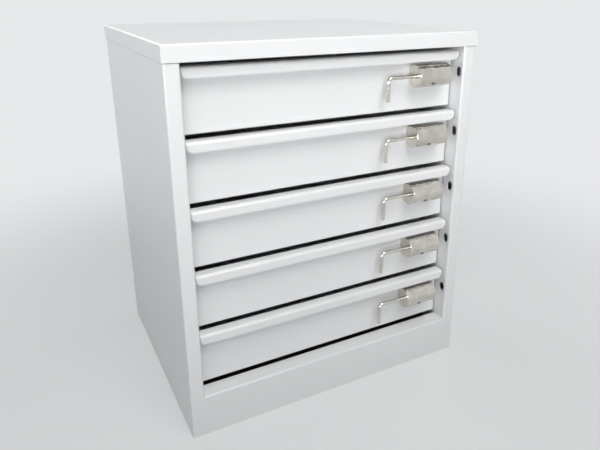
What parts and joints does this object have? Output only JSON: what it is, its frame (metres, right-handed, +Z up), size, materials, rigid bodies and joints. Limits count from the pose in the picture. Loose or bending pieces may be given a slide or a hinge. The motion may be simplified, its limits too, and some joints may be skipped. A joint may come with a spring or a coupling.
{
  "type": "drawer unit",
  "caption": "White sheet-steel drawer cabinet with inset drawers under finger lips, each locked by a sliding L-shaped rod bolt that enters a slot in the stile.",
  "frame": {"origin": "centre of the cabinet's footprint, on the floor", "axes": "+Z up, +X to the viewer's right, and the drawers open towards -Y"},
  "size_m": [0.4626, 0.3803, 0.54],
  "materials": {
    "white_paint": "gloss powder coat",
    "polished_bolt": "polished nickel",
    "zinc_slides": "bright zinc plated",
    "zinc_key": "zinc plated"
  },
  "bodies": {
    "cabinet": {"top_cover": "white_paint", "left_side_panel": "white_paint", "right_side_panel": "white_paint", "back_panel": "white_paint", "base_panel": "white_paint", "plinth_panel": "white_paint", "rear_upright_left": "zinc_slides", "rear_upright_right": "zinc_slides", "cabinet_runner_1_left": "zinc_slides", "cabinet_runner_1_right": "zinc_slides", "cabinet_runner_2_left": "zinc_slides", "cabinet_runner_2_right": "zinc_slides", "cabinet_runner_3_left": "zinc_slides", "cabinet_runner_3_right": "zinc_slides", "cabinet_runner_4_left": "zinc_slides", "cabinet_runner_4_right": "zinc_slides", "cabinet_runner_5_left": "zinc_slides", "cabinet_runner_5_right": "zinc_slides"},
    "drawer_1": {"drawer_1_front": "white_paint", "drawer_1_tray": "white_paint", "drawer_1_runner_left": "zinc_slides", "drawer_1_runner_right": "zinc_slides", "drawer_1_bolt_housing": "polished_bolt", "drawer_1_stop_key": "zinc_key"},
    "bolt_1": {"drawer_1_bolt_rod": "polished_bolt"},
    "drawer_2": {"drawer_2_front": "white_paint", "drawer_2_tray": "white_paint", "drawer_2_runner_left": "zinc_slides", "drawer_2_runner_right": "zinc_slides", "drawer_2_bolt_housing": "polished_bolt", "drawer_2_stop_key": "zinc_key"},
    "bolt_2": {"drawer_2_bolt_rod": "polished_bolt"},
    "drawer_3": {"drawer_3_front": "white_paint", "drawer_3_tray": "white_paint", "drawer_3_runner_left": "zinc_slides", "drawer_3_runner_right": "zinc_slides", "drawer_3_bolt_housing": "polished_bolt", "drawer_3_stop_key": "zinc_key"},
    "bolt_3": {"drawer_3_bolt_rod": "polished_bolt"},
    "drawer_4": {"drawer_4_front": "white_paint", "drawer_4_tray": "white_paint", "drawer_4_runner_left": "zinc_slides", "drawer_4_runner_right": "zinc_slides", "drawer_4_bolt_housing": "polished_bolt", "drawer_4_stop_key": "zinc_key"},
    "bolt_4": {"drawer_4_bolt_rod": "polished_bolt"},
    "drawer_5": {"drawer_5_front": "white_paint", "drawer_5_tray": "white_paint", "drawer_5_runner_left": "zinc_slides", "drawer_5_runner_right": "zinc_slides", "drawer_5_bolt_housing": "polished_bolt", "drawer_5_stop_key": "zinc_key"},
    "bolt_5": {"drawer_5_bolt_rod": "polished_bolt"}
  },
  "joints": [
    {"name": "drawer_1_slide", "type": "slide", "parent": "cabinet", "child": "drawer_1", "axis": [0, -1, 0], "range_m": [0, 0.25]},
    {"name": "bolt_1_throw", "type": "slide", "parent": "drawer_1", "child": "bolt_1", "axis": [1, 0, 0], "range_m": [0, 0.022]},
    {"name": "drawer_2_slide", "type": "slide", "parent": "cabinet", "child": "drawer_2", "axis": [0, -1, 0], "range_m": [0, 0.25]},
    {"name": "bolt_2_throw", "type": "slide", "parent": "drawer_2", "child": "bolt_2", "axis": [1, 0, 0], "range_m": [0, 0.022]},
    {"name": "drawer_3_slide", "type": "slide", "parent": "cabinet", "child": "drawer_3", "axis": [0, -1, 0], "range_m": [0, 0.25]},
    {"name": "bolt_3_throw", "type": "slide", "parent": "drawer_3", "child": "bolt_3", "axis": [1, 0, 0], "range_m": [0, 0.022]},
    {"name": "drawer_4_slide", "type": "slide", "parent": "cabinet", "child": "drawer_4", "axis": [0, -1, 0], "range_m": [0, 0.25]},
    {"name": "bolt_4_throw", "type": "slide", "parent": "drawer_4", "child": "bolt_4", "axis": [1, 0, 0], "range_m": [0, 0.022]},
    {"name": "drawer_5_slide", "type": "slide", "parent": "cabinet", "child": "drawer_5", "axis": [0, -1, 0], "range_m": [0, 0.25]},
    {"name": "bolt_5_throw", "type": "slide", "parent": "drawer_5", "child": "bolt_5", "axis": [1, 0, 0], "range_m": [0, 0.022]}
  ]
}
